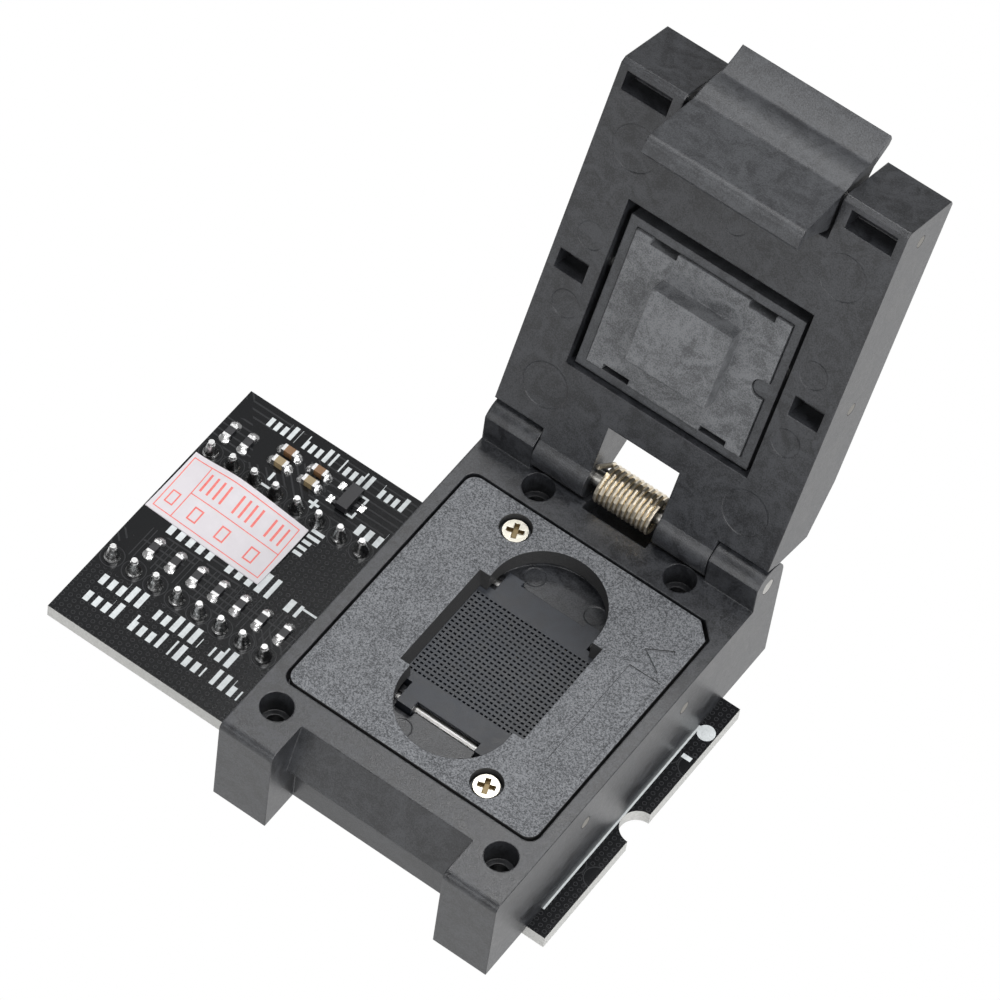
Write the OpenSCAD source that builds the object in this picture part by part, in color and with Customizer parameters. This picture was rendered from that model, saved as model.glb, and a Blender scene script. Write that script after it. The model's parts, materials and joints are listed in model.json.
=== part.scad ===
// Plug-in adapter board with a clamshell test socket for ball-grid memory packages.
// X runs along the board, Y from the latch to the hinge, Z up. The origin lies in the
// middle of the two pin rows, on the plane where the pin strips seat. The modules below
// count heights from the board's top face. All sizes are in millimetres.

/* [Board] */
// Length of the board along X
board_l = 57.2; // [54:0.2:60]
// Width of the board along Y
board_w = 31.5; // [30:0.5:33]
// Thickness of the board
board_t = 1.6; // [1.2:0.1:2]
// Overhang of the board past the middle of the pin rows, on the pin side
board_end = 10.2; // [10:0.1:11]
// Radius of the half-round notch in the far edge
notch_r = 1.85; // [1:0.05:2.5]
// Place of the notch off the centre line
notch_y = -0.8; // [-2:0.1:2]

/* [Pin rows] */
// Pins in each row
pin_count = 8; // [4:1:8]
// Pitch of the pins in a row
pin_pitch = 2.54; // [2:0.02:2.54]
// Distance between the two rows
row_gap = 15.24; // [12.7:0.02:17.78]
// Radius of a round pin in the board
pin_r = 0.3; // [0.28:0.01:0.32]
// Radius of a pin's thinner end below the plastic strip
plug_r = 0.25; // [0.2:0.01:0.28]
// Length of a pin below the plastic strip
pin_reach = 6; // [4:0.5:8]
// Length of a pin above the board
pin_tip = 1.8; // [1.4:0.1:2.2]
// Height of the plastic strip
strip_h = 2.5; // [1.5:0.1:3]
// Width of the plastic strip
strip_w = 2.4; // [2:0.1:2.6]
// Radius of a solder joint where it meets the board
solder_r = 0.82; // [0.76:0.02:1.1]
// Height of a solder joint
solder_h = 1.45; // [1:0.05:1.5]

/* [Small parts on the board] */
// Length of a chip resistor or capacitor
chip_l = 1.6; // [1.4:0.05:1.7]
// Width of a chip resistor or capacitor
chip_w = 0.82; // [0.7:0.02:0.9]
// Height of a chip resistor
resistor_h = 0.45; // [0.3:0.05:0.6]
// Height of a chip capacitor
capacitor_h = 0.8; // [0.6:0.05:1]
// Length of the solder beyond each end of a chip
chip_solder = 0.65; // [0.4:0.05:0.7]
// Length of the transistor body
transistor_l = 2.9; // [2.6:0.1:3]
// Width of the transistor body
transistor_w = 1.3; // [1.1:0.1:1.4]
// Height of the transistor body
transistor_h = 1; // [0.8:0.05:1.1]
// Distance of the resistors from the front pin row
resistor_row_in = 3.12; // [2.9:0.02:3.4]
// Distance of the parts behind the back pin row from that row
back_parts_in = 3.78; // [3.6:0.02:4]

/* [Seal label] */
// Length of the paper label
label_l = 13.7; // [12:0.1:14]
// Width of the paper label
label_w = 7.6; // [7:0.1:7.8]
// Thickness of the paper label
label_t = 0.12; // [0.1:0.01:0.2]
// Height to which the label climbs over the solder joints
label_rise = 1.3; // [0.6:0.1:1.4]

/* [Socket base] */
// Place of the socket's middle along the board
socket_x = 29.55; // [29:0.05:31]
// Width of the base and the lid
socket_w = 30.9; // [30:0.1:32]
// Distance from the socket's middle to the front of the base
base_front = 22.2; // [21.6:0.1:23]
// Distance from the socket's middle to the back of the base
base_back = 22.8; // [22.6:0.1:23.4]
// Height of the base
base_h = 11.65; // [11.2:0.05:12]
// Width of the gap between the two front legs
leg_gap = 19.1; // [18:0.1:20]
// Distance from the socket's middle to the front wall between the legs
front_wall = 17.9; // [17.7:0.1:18.4]
// Distance from the socket's middle to the top of the ramp
ramp_top = 17.7; // [17.5:0.1:18]
// Distance from the socket's middle to the lip that the latch catches
lip_reach = 19.5; // [19.2:0.05:19.7]
// Height of the lip's underside
lip_z = 6.3; // [5.8:0.1:6.8]
// Radius of the rounded front top edge
edge_r = 0.8; // [0.4:0.1:1]
// Radius of the corner counterbores
corner_r = 1.6; // [1.2:0.05:1.7]
// Depth of the corner counterbores
corner_depth = 3; // [2:0.1:6]
// Radius of the corner through holes
corner_hole_r = 1; // [0.7:0.05:1.1]
// Distance of the front corner holes from the centre line
front_hole_x = 12.55; // [12:0.05:12.8]
// Distance of the front corner holes from the socket's middle
front_hole_y = 17.45; // [17.2:0.05:18]
// Distance of the back corner holes from the centre line
back_hole_x = 8.05; // [7.6:0.05:8.8]
// Distance of the back corner holes from the socket's middle
back_hole_y = 17.1; // [16.9:0.05:17.3]

/* [Guide plate] */
// Half the width of the guide plate
plate_x = 13.8; // [13.4:0.05:14]
// Half the length of the guide plate
plate_y = 14.5; // [14.2:0.05:14.7]
// Thickness of the guide plate
plate_t = 2; // [1.6:0.1:2.2]
// Gap around the guide plate
plate_gap = 0.3; // [0.15:0.05:0.4]
// Radius of the plate's three round corners
plate_r = 1.2; // [0.8:0.1:1.6]
// Size of the chamfered key corner
plate_key = 1.6; // [1:0.1:2]
// Half the width of the package pocket at its foot
pocket_x = 6.53; // [6.5:0.01:6.6]
// Half the length of the package pocket at its foot
pocket_y = 5.95; // [5.8:0.05:6]
// Slope of the pocket's lead-in, sideways
lead_in = 0.4; // [0.2:0.05:0.5]
// Radius of the finger slot's round ends
finger_r = 5.78; // [5.4:0.02:5.9]
// Distance of the finger slot's end centres from the middle
finger_y = 7.03; // [6.8:0.01:7.2]
// Distance of the plate screws from the centre line
screw_x = 7.05; // [6.9:0.05:7.4]
// Distance of the plate screws from the socket's middle
screw_y = 12.05; // [11.9:0.05:12.2]
// Radius of a plate screw's head
screw_head_r = 1.27; // [1.1:0.01:1.45]
// Radius of a plate screw's shank
screw_r = 0.8; // [0.7:0.05:0.9]
// Length of a plate screw's shank
screw_l = 5; // [4:0.5:6]

/* [Contacts] */
// Pitch of the contact slots
slot_pitch = 0.5; // [0.4:0.05:0.5]
// Length of one slot along X
slot_l = 0.3; // [0.24:0.02:0.34]
// Width of one slot along Y
slot_w = 0.19; // [0.16:0.01:0.24]
// Contacts along each side of the fitted field
field_count = 14; // [10:2:14]
// Rings of contacts in the fitted field
field_rings = 3; // [1:1:3]
// Half the width of the contact block
block_x = 6.9; // [6.85:0.05:7.2]
// Half the length of the contact block's wide part
block_y = 6.45; // [6.2:0.05:6.6]
// Half the width of the contact block's end arms
arm_x = 5.2; // [4.8:0.05:5.4]
// Distance of the end arms' ends from the middle
arm_y = 8.9; // [8.7:0.05:9]
// Half the width of the notch between the arms
arm_notch_x = 3.55; // [3.4:0.05:3.8]
// Distance of the back notch's edge from the middle
back_notch_y = 8.33; // [8.2:0.01:8.4]
// Travel of the contact block
block_travel = 0.5; // [0.2:0.05:0.5]
// Distance of the steel rods from the middle
rod_y = 7.86; // [7.7:0.02:8]
// Height of the steel rods above the contact block's underside
rod_rise = 1.28; // [1.25:0.01:1.3]
// Radius of the steel rods
rod_r = 0.6; // [0.5:0.02:0.64]

/* [Hinge and lid] */
// Distance of the hinge axis from the socket's middle
hinge_y = 20.3; // [20.1:0.05:20.5]
// Height of the hinge axis above the base's top
hinge_rise = 1.9; // [1.9:0.05:2]
// Opening angle of the lid
lid_open = 110.7; // [90:0.1:112]
// Radius of the base's hinge ears
ear_r = 2.5; // [2.3:0.05:2.5]
// Radius of the lid's hinge barrel
barrel_r = 2.3; // [2.1:0.05:2.35]
// Half the length of the lid's hinge barrel
barrel_x = 9.85; // [9:0.05:10]
// Radius of the hinge pin
hinge_pin_r = 0.8; // [0.6:0.05:0.9]
// Reach of the lid from the hinge axis to its end
lid_l = 42.55; // [42:0.05:42.8]
// Height of the lid's inner face below the hinge axis, lid shut
lid_face = 1.8; // [1.75:0.01:1.8]
// Height of the lid's outer face above the hinge axis, lid shut
lid_top = 6.7; // [6.4:0.05:7]
// Half the width of the spring window
window_x = 4; // [3.8:0.05:4.4]
// Reach of the spring window from the hinge axis
window_l = 6.9; // [6.4:0.1:7.2]
// Mean radius of the lid spring's coil
coil_r = 1.85; // [1.7:0.01:1.9]
// Radius of the lid spring's wire
wire_r = 0.25; // [0.2:0.01:0.25]
// Whole turns of the lid spring
coil_turns = 12; // [8:1:12]

/* [Latch] */
// Half the width of the opening between the lid's end lugs
lug_x = 8.6; // [8.5:0.05:8.8]
// Half the width of the latch at the hook
latch_hook_x = 8.4; // [8.2:0.05:8.4]
// Half the width of the latch at the thumb tab
latch_tab_x = 8; // [7.8:0.05:8.2]
// Distance of the latch pin from the hinge axis
latch_y = 39.95; // [39.8:0.05:40.1]
// Height of the latch pin above the hinge axis
latch_z = 2.1; // [2:0.05:2.2]
// Radius of the latch and pressure plate pins
cross_pin_r = 0.6; // [0.5:0.02:0.7]

/* [Pressure plate] */
// Distance of the pressure plate's pin from the hinge axis
press_y = 20.2; // [20.1:0.05:20.5]
// Distance of the plate's middle from its pin, toward the hinge
plate_drop = 0.68; // [0.6:0.02:0.7]
// Half the width of the pressure plate's frame
frame_x = 9.6; // [9.4:0.05:9.65]
// Half the length of the pressure plate's frame
frame_y = 8.72; // [8.6:0.02:8.74]
// Gap at the frame's sides in its well
frame_gap = 0.55; // [0.4:0.05:0.6]
// Mean gap at the frame's two ends in its well
end_gap = 0.93; // [0.9:0.01:0.96]
// Depth of the frame's face below the lid's inner face
frame_sink = 0.65; // [0.6:0.05:1]
// Height of the pad's face over the frame's
pad_rise = 0.25; // [0.1:0.05:0.25]
// Half the width of the pad in the frame
pad_x = 8.54; // [8.2:0.02:8.6]
// Half the length of the pad in the frame
pad_y = 7.72; // [7.5:0.02:7.8]
// Half the width of the pusher
pusher_x = 4.4; // [4:0.05:4.8]
// Half the length of the pusher
pusher_y = 4.17; // [4:0.01:4.4]
// Distance of the pusher's middle from the pad's, away from the hinge
pusher_shift = 0.38; // [0:0.02:0.4]
// Reach of the pusher past the lid's inner face
pusher_reach = 1.65; // [1:0.05:1.7]

/* [Hidden] */
$fn = 48;
// Small overlap that keeps cuts and joins clean
eps = 0.05;
// Gap between flat faces that slide past each other
slide_gap = 0.1;
// Radial clearance of a pin or shaft in its hole
pin_fit = 0.05;
chip_lead = 0.28;
pin_x0 = -(pin_count - 1) * pin_pitch / 2;
hole_r = pin_r + 0.15;
board_top = board_t + strip_h;
half_w = socket_w / 2;
floor_z = base_h - plate_t;
block_top = floor_z - 0.05;
block_h = 2.8;
block_z = block_top - block_h;
block_roof = 1.1;
block_gap = 0.12;
rod_z = block_z + rod_rise;
hinge_z = base_h + hinge_rise;
ledge_drop = 1.05;
ledge_z = floor_z - ledge_drop;
well_z = block_z - block_travel - slide_gap;
cavity_x = block_x - 0.7;
cavity_y = block_y - 0.75;
carrier_h = 4.5;
field_half = (field_count - 1) * slot_pitch / 2;
contact_l = slot_l - 0.1;
contact_w = slot_w - 0.07;
contact_tail = 0.8;
lift_x = (arm_x + arm_notch_x) / 2;
lift_y = (block_y + arm_y) / 2;
lift_r = 0.5;
lift_room = 0.1;
lift_wire = 0.13;
lift_turns = 4;
lift_depth = 3;
screw_seat = 1.35;
screw_head_h = 0.85;
barrel_gap = 0.1;
trough_r = barrel_r + 0.3;
ear_front = hinge_y - 2;
spring_slot_x = window_x - 0.4;
spring_slot_z = hinge_z - 5.05;
lid_heel = 2.8;
lid_slope_l = 9.3;
lid_slope_z = lid_top - 1.3;
press_z = 2.5;
frame_top = 4;
pad_back = 1.2;
pad_face = frame_sink - pad_rise - lid_face;
plate_mid = press_y - plate_drop;
well_x = frame_x + frame_gap;
well_y = frame_y + end_gap;
well_roof = frame_top + 0.6;
pusher_z = -lid_face - pusher_reach;
latch_room = 2.35;
latch_slot = latch_y - latch_room;
hook_z = lip_z - hinge_z - 0.15;

// Shared helpers

// Lifts a shape from the board's top face to the part's own frame.
module on_board() {
    translate([0, 0, board_top]) children();
}

// Carries a shape from the middle of the socket to the part's own frame.
module in_socket() {
    translate([socket_x, 0, board_top]) children();
}

// Carries a shape from the lid's frame, which has its origin on the hinge axis and the
// lid shut, to where the open lid holds it.
module on_lid() {
    in_socket()
        translate([0, hinge_y, hinge_z])
        rotate([-lid_open, 0, 0])
        children();
}

// Extrudes a section drawn in Y and Z to a width along X, centred.
module along_x(width) {
    rotate([90, 0, 90]) linear_extrude(width, center = true) children();
}

// A round rod along X, centred.
module rod_x(r, length) {
    rotate([0, 90, 0]) cylinder(r = r, h = length, center = true);
}

// A box centred in X and Y that stands on z0.
module slab(half_x, half_y, z0, height) {
    translate([-half_x, -half_y, z0]) cube([2 * half_x, 2 * half_y, height]);
}

module both_sides() {
    children();
    mirror([1, 0, 0]) children();
}

// Both ends of the socket's middle line.
module both_ends() {
    children();
    mirror([0, 1, 0]) children();
}

// A slot with two round ends along Y.
module finger_slot(r, y) {
    both_ends() translate([0, y]) circle(r = r);
    square([2 * r, 2 * y], center = true);
}

// Plate outline with three round corners and one chamfered key corner.
module keyed_outline(x, y, r, key) {
    difference() {
        union() {
            square([2 * x, 2 * (y - r)], center = true);
            square([2 * (x - r), 2 * y], center = true);
            for (sx = [-1, 1], sy = [-1, 1])
                translate([sx * (x - r), sy * (y - r)]) circle(r = r);
        }
        polygon([[x - key, y], [x + eps, y + eps], [x, y - key]]);
    }
}

// Wire swept along a list of points, as rings of corners. Each ring stands across the
// direction from the point before to the point after. The path never runs along the
// direction named about.
function unit(v) = v / norm(v);
function step_at(path, i) =
    unit(path[min(i + 1, len(path) - 1)] - path[max(i - 1, 0)]);
function ring(centre, dir, r, sides, about) =
    let (side = unit(cross(dir, about)), up = cross(side, dir))
    [for (k = [0:sides - 1])
        centre + r * (cos(k * 360 / sides) * side + sin(k * 360 / sides) * up)];
module wire(path, r, sides = 8, about = [1, 0, 0]) {
    n = len(path);
    points = [for (i = [0:n - 1]) each ring(path[i], step_at(path, i), r, sides, about)];
    walls = [for (i = [0:n - 2], k = [0:sides - 1])
        let (a = i * sides + k, b = i * sides + (k + 1) % sides)
        each [[a, b, b + sides], [a, b + sides, a + sides]]];
    ends = [
        [for (k = [sides - 1:-1:0]) k],
        [for (k = [0:sides - 1]) (n - 1) * sides + k],
    ];
    polyhedron(points = points, faces = concat(walls, ends));
}

// Circuit board and its pin rows

module circuit_board() {
    color("#1d1f22") on_board() difference() {
        translate([-board_end, -board_w / 2, -board_t])
            cube([board_l, board_w, board_t]);
        translate([board_l - board_end, notch_y, -board_t - eps])
            cylinder(r = notch_r, h = board_t + 2 * eps);
        for (side = [-1, 1]) each_pin(side)
            translate([0, 0, -board_t - eps]) cylinder(r = hole_r, h = board_t + 2 * eps);
    }
}

// Places a shape at each pin of the front row, side -1, or the back row, side 1.
module each_pin(side) {
    for (i = [0:pin_count - 1])
        translate([pin_x0 + i * pin_pitch, side * row_gap / 2, 0]) children();
}

module header_strip(side) {
    length = pin_count * pin_pitch;
    color("#141414") on_board() difference() {
        translate([-length / 2, side * row_gap / 2 - strip_w / 2, -board_t - strip_h])
            cube([length, strip_w, strip_h]);
        each_pin(side) translate([0, 0, -board_t - strip_h - eps])
            cylinder(r = pin_r, h = strip_h + 2 * eps);
    }
}

module header_pins(side) {
    foot = -board_top - pin_reach;
    color("#d9c27a") on_board() each_pin(side) {
        translate([0, 0, foot]) cylinder(r1 = plug_r / 2, r2 = plug_r, h = plug_r);
        translate([0, 0, foot + plug_r]) cylinder(r = plug_r, h = pin_reach - plug_r);
        translate([0, 0, -board_top]) cylinder(r = pin_r, h = board_top + pin_tip);
    }
}

// Solder cone around the end of a pin, with a hollow flank.
module solder_joints(side) {
    waist_r = pin_r + 0.22;
    lip_r = pin_r + 0.08;
    color("#b9bbbd") on_board() each_pin(side) rotate_extrude()
        polygon([
            [pin_r, 0], [solder_r, 0], [solder_r, 0.1], [solder_r * 0.84, 0.3],
            [waist_r, solder_h * 0.62], [lip_r, solder_h], [pin_r, solder_h],
        ]);
}

// Small parts on the board

resistor_row_y = resistor_row_in - row_gap / 2;
back_parts_y = row_gap / 2 + back_parts_in;
function resistor_place(i) =
    i < 7
        ? [pin_x0 + (i + 1) * pin_pitch, resistor_row_y]
        : [pin_x0 + 0.05 + (i - 7) * 2.1, back_parts_y - 0.8];
function capacitor_place(i) =
    [pin_x0 + 6 + floor(i / 2) * 3.55, back_parts_y - 0.8 + (i % 2) * 1.55];
transistor_place = [pin_x0 + 13.6, back_parts_y];

module resistor(i) {
    color("#24262a") on_board() translate(resistor_place(i))
        slab(chip_w / 2, chip_l / 2, 0, resistor_h);
}

module capacitor(i) {
    color(i % 2 ? "#a9774f" : "#c7a777") on_board() translate(capacitor_place(i))
        slab(chip_l / 2, chip_w / 2, 0, capacitor_h);
}

// Moulded body with three leads that step down to the board.
module transistor() {
    reach = transistor_w / 2 + 0.55;
    lead_w = 0.4;
    lead_t = 0.15;
    color("#202124") on_board() translate(transistor_place) {
        slab(transistor_w / 2, transistor_l / 2, lead_t, transistor_h - lead_t);
        for (p = [[-1, 0.95], [-1, -0.95], [1, 0]])
            translate([p[0] > 0 ? 0 : -reach, p[1] - lead_w / 2, 0])
                cube([reach, lead_w, lead_t + eps]);
    }
}

// Drop of solder that climbs the end of a chip. It starts at the chip's end face.
module fillet(width, height) {
    intersection() {
        rotate_extrude() polygon([
            [0, 0], [chip_solder, 0], [chip_solder * 0.97, 0.12],
            [chip_solder * 0.7, height * 0.62], [chip_solder * 0.35, height * 0.92],
            [0, height],
        ]);
        translate([0, -width / 2, 0]) cube([chip_solder, width, height]);
    }
}

// Solder at both ends of each chip and on the transistor's three pads.
module chip_solder_fillets() {
    width = chip_w + chip_lead;
    color("#cfd1d3") on_board() {
        for (i = [0:8], turn = [90, 270])
            translate(resistor_place(i)) rotate([0, 0, turn])
                translate([chip_l / 2, 0, 0]) fillet(width, resistor_h);
        for (i = [0:3], turn = [0, 180])
            translate(capacitor_place(i)) rotate([0, 0, turn])
                translate([chip_l / 2, 0, 0]) fillet(width, capacitor_h * 0.8);
        for (p = [[-1, 0.95], [-1, -0.95], [1, 0]])
            translate([
                transistor_place[0] + p[0] * (transistor_w / 2 + 0.85),
                transistor_place[1] + p[1], 0,
            ])
                slab(0.3, 0.42, 0, 0.22);
    }
}

// Paper seal label, flat on the board in front and lifted over the solder joints behind.
function label_lift(u, v) =
    label_rise * pow(v, 2) * (0.3 + 0.7 * pow(sin(min(u * 2.2, 1 + (u - 0.4545) * 0.5) * 90), 2))
        * (1 - 0.55 * pow(u, 2));
module seal_label() {
    nu = 20;
    nv = 10;
    x0 = -board_end + 0.15;
    y0 = -1.1;
    row = nu + 1;
    count = row * (nv + 1);
    grid = [for (j = [0:nv], i = [0:nu])
        let (u = i / nu, v = j / nv)
        [x0 + u * label_l + 0.25 * v, y0 + v * label_w - 0.5 * u, label_lift(u, v)]];
    lower = [for (p = grid) p + [0, 0, 0.02]];
    upper = [for (p = grid) p + [0, 0, 0.02 + label_t]];
    cells = [for (j = [0:nv - 1], i = [0:nu - 1]) j * row + i];
    top_faces = [for (c = cells) each [
        [count + c, count + c + row, count + c + 1],
        [count + c + 1, count + c + row, count + c + row + 1]]];
    low_faces = [for (c = cells) each [
        [c, c + 1, c + row], [c + 1, c + row + 1, c + row]]];
    rim = concat(
        [for (i = [0:nu]) i],
        [for (j = [1:nv]) j * row + nu],
        [for (i = [nu - 1:-1:0]) nv * row + i],
        [for (j = [nv - 1:-1:1]) j * row]
    );
    m = len(rim);
    rim_faces = [for (k = [0:m - 1])
        [rim[k], count + rim[k], count + rim[(k + 1) % m], rim[(k + 1) % m]]];
    color("#ece9ea") on_board() polyhedron(
        points = concat(lower, upper),
        faces = concat(top_faces, low_faces, rim_faces)
    );
}

// Socket base

// Ramp and undercut between the legs, which the latch hooks under.
module front_gap_section() {
    polygon([
        [-base_front - 1, -1], [-front_wall, -1], [-front_wall, lip_z],
        [-lip_reach, lip_z], [-ramp_top, base_h], [-ramp_top, base_h + 1],
        [-base_front - 1, base_h + 1],
    ]);
}

module base_section() {
    difference() {
        translate([-base_front, 0]) square([base_front + base_back, base_h]);
        translate([-base_front, base_h]) difference() {
            square(2 * edge_r, center = true);
            translate([edge_r, -edge_r]) circle(r = edge_r);
        }
    }
}

module ear_section() {
    intersection() {
        union() {
            translate([hinge_y, hinge_z]) circle(r = ear_r);
            translate([hinge_y - ear_r, base_h - 1])
                square([2 * ear_r, hinge_z - base_h + 1]);
        }
        translate([ear_front, 0]) square([base_back - ear_front, hinge_z + ear_r]);
    }
}

// Plan of the contact block, grown by a gap for the well that holds it.
module block_plan(gap) {
    square([2 * (block_x + gap), 2 * (block_y + gap)], center = true);
    square([2 * (arm_x + gap), 2 * (arm_y + gap)], center = true);
}

// The notches at the block's ends. The base fills them up to the ledge, in front of the
// front rod and behind the back one.
module end_notches(front_y, back_y, half_x) {
    translate([-half_x, back_y]) square([2 * half_x, arm_y]);
    translate([-half_x, -front_y - arm_y]) square([2 * half_x, arm_y]);
}

module base_housing() {
    ear_w = half_w - barrel_x - barrel_gap;
    color("#26282b") in_socket() difference() {
        union() {
            along_x(socket_w) base_section();
            both_sides() translate([half_w - ear_w / 2, 0, 0])
                along_x(ear_w) ear_section();
        }
        along_x(leg_gap) front_gap_section();
        translate([0, hinge_y, hinge_z]) rod_x(trough_r, 2 * (barrel_x + barrel_gap));
        translate([-spring_slot_x, ear_front - 0.5, spring_slot_z])
            cube([2 * spring_slot_x, base_back - ear_front, base_h]);
        translate([0, 0, floor_z]) linear_extrude(plate_t + 1)
            keyed_outline(plate_x + plate_gap, plate_y + plate_gap, plate_r, plate_key);
        translate([0, 0, ledge_z]) linear_extrude(base_h)
            finger_slot(finger_r + 0.5, finger_y);
        translate([0, 0, well_z]) linear_extrude(base_h) difference() {
            block_plan(block_gap);
            end_notches(rod_y + 0.5, back_notch_y + block_gap, arm_notch_x - block_gap);
        }
        slab(cavity_x, cavity_y, -1, base_h);
        for (sx = [-1, 1], sy = [-1, 1])
            translate([sx * lift_x, sy * lift_y, well_z - lift_depth])
                cylinder(r = lift_r + lift_wire + lift_room, h = base_h);
        for (sx = [-1, 1]) {
            corner_hole(sx * front_hole_x, -front_hole_y);
            corner_hole(sx * back_hole_x, back_hole_y);
            translate([sx * screw_x, -sx * screw_y, floor_z - screw_l])
                cylinder(r = screw_r + pin_fit, h = screw_l + 1);
        }
        both_ends() translate([0, rod_y, rod_z]) rod_x(rod_r + pin_fit, socket_w + 1);
        translate([0, hinge_y, hinge_z]) rod_x(hinge_pin_r + pin_fit, socket_w + 1);
        for (sx = [-1, 1], sy = [-1, 1])
            translate([sx * 3.43, sy * (finger_y + 3.52), ledge_z - 0.06])
                cylinder(r = 1.05, h = 1);
    }
}

// Counterbored hole down through the base.
module corner_hole(x, y) {
    translate([x, y, base_h - corner_depth]) cylinder(r = corner_r, h = corner_depth + 1);
    translate([x, y, -1]) cylinder(r = corner_hole_r, h = base_h + 2);
}

module contact_carrier() {
    color("#33363b") in_socket()
        slab(cavity_x - slide_gap, cavity_y - slide_gap, 0, carrier_h);
}

// Places of the contacts: the outer rings of a square field.
function contact_places() = [
    for (i = [0:field_count - 1], j = [0:field_count - 1])
        if (min(i, j, field_count - 1 - i, field_count - 1 - j) < field_rings)
            [i * slot_pitch - field_half, j * slot_pitch - field_half]
];
module socket_contacts() {
    tip = block_top - 0.3;
    foot = -board_t - contact_tail;
    color("#d8b765") in_socket() for (p = contact_places())
        translate([p[0] - contact_l / 2, p[1] - contact_w / 2, foot])
            cube([contact_l, contact_w, tip - foot]);
}

// Top sheet of the contact block, with a slot over each fitted contact.
module slotted_sheet() {
    half_l = slot_l / 2;
    half_w = slot_w / 2;
    places = contact_places();
    edge = [
        [-block_x, -block_y], [-arm_x, -block_y], [-arm_x, -arm_y],
        [-arm_notch_x, -arm_y], [-arm_notch_x, -rod_y], [arm_notch_x, -rod_y],
        [arm_notch_x, -arm_y], [arm_x, -arm_y], [arm_x, -block_y],
        [block_x, -block_y], [block_x, block_y], [arm_x, block_y],
        [arm_x, arm_y], [arm_notch_x, arm_y], [arm_notch_x, back_notch_y],
        [-arm_notch_x, back_notch_y], [-arm_notch_x, arm_y], [-arm_x, arm_y],
        [-arm_x, block_y], [-block_x, block_y],
    ];
    corners = [[-half_l, -half_w], [half_l, -half_w], [half_l, half_w], [-half_l, half_w]];
    holes = [for (p = places, c = corners) p + c];
    paths = concat(
        [[for (k = [0:len(edge) - 1]) k]],
        [for (k = [0:len(places) - 1]) [for (c = [0:3]) len(edge) + 4 * k + c]]
    );
    linear_extrude(block_roof)
        polygon(points = concat(edge, holes), paths = paths);
}

module contact_block() {
    hollow = field_half + 0.5;
    color("#2b3140") in_socket() difference() {
        union() {
            translate([0, 0, block_top - block_roof]) slotted_sheet();
            translate([0, 0, block_z]) linear_extrude(block_h - block_roof) difference() {
                block_plan(0);
                square(2 * hollow, center = true);
                end_notches(rod_y, back_notch_y, arm_notch_x);
            }
        }
        both_ends() translate([0, rod_y, rod_z]) {
            rod_x(rod_r + pin_fit, 3 * block_x);
            translate([0, 0, block_travel]) rod_x(rod_r + pin_fit, 3 * block_x);
            translate([0, 0, block_travel / 2])
                cube([3 * block_x, 2 * (rod_r + pin_fit), block_travel], center = true);
        }
    }
}

// Four small coil springs that lift the contact block.
module lift_springs() {
    z0 = well_z - lift_depth + lift_wire;
    height = block_z - z0 - lift_wire;
    step = 30;
    last = lift_turns * 360;
    path = [for (a = [0:step:last])
        [lift_r * cos(a), lift_r * sin(a), z0 + height * a / last]];
    color("#c9ccd0") in_socket() for (sx = [-1, 1], sy = [-1, 1])
        translate([sx * lift_x, sy * lift_y, 0]) wire(path, lift_wire, 6, [0, 0, 1]);
}

module contact_rod(side) {
    color("#e4e4e2") in_socket() translate([0, side * rod_y, rod_z])
        rod_x(rod_r, socket_w);
}

// Guide plate with the package pocket, the finger slot and the pin-one mark.
module guide_plate() {
    mark_depth = 0.14;
    mark_w = 0.2;
    color("#3a3c3f") in_socket() difference() {
        translate([0, 0, floor_z]) linear_extrude(plate_t)
            keyed_outline(plate_x, plate_y, plate_r, plate_key);
        translate([0, 0, floor_z - 1]) linear_extrude(plate_t + 2)
            finger_slot(finger_r, finger_y);
        hull() {
            slab(pocket_x, pocket_y, floor_z - eps, eps);
            slab(pocket_x + lead_in, pocket_y + lead_in * 0.7, base_h, eps);
        }
        for (sx = [-1, 1]) translate([sx * screw_x, -sx * screw_y, 0]) {
            translate([0, 0, base_h - screw_seat]) cylinder(r = corner_r, h = plate_t);
            translate([0, 0, floor_z - 1]) cylinder(r = screw_r + pin_fit, h = plate_t + 1);
        }
        translate([9.8, -6.5, base_h - mark_depth]) cube([3.45, 13, 1]);
        translate([9.95, 8.7, base_h - mark_depth]) for (turn = [-32, 32])
            rotate([0, 0, turn]) translate([0, -mark_w / 2, 0]) cube([2.8, mark_w, 1]);
    }
}

// Cross-headed screw whose head rests in the plate's counterbore.
module guide_screw(sx) {
    seat = base_h - screw_seat;
    cross_w = 0.5;
    cross_depth = 0.6;
    color("#d5d3ca") in_socket() translate([sx * screw_x, -sx * screw_y, 0]) difference() {
        union() {
            translate([0, 0, floor_z - screw_l + 0.3])
                cylinder(r = screw_r, h = screw_l + plate_t - screw_seat);
            translate([0, 0, seat]) cylinder(r = screw_head_r, h = screw_head_h);
        }
        for (turn = [20, 110]) rotate([0, 0, turn])
            translate([0, 0, seat + screw_head_h])
                cube([1.7, cross_w, 2 * cross_depth], center = true);
    }
}

// Hinge

module hinge_pin() {
    color("#cfc8b0") in_socket() translate([0, hinge_y, hinge_z])
        rod_x(hinge_pin_r, socket_w);
}

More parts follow.
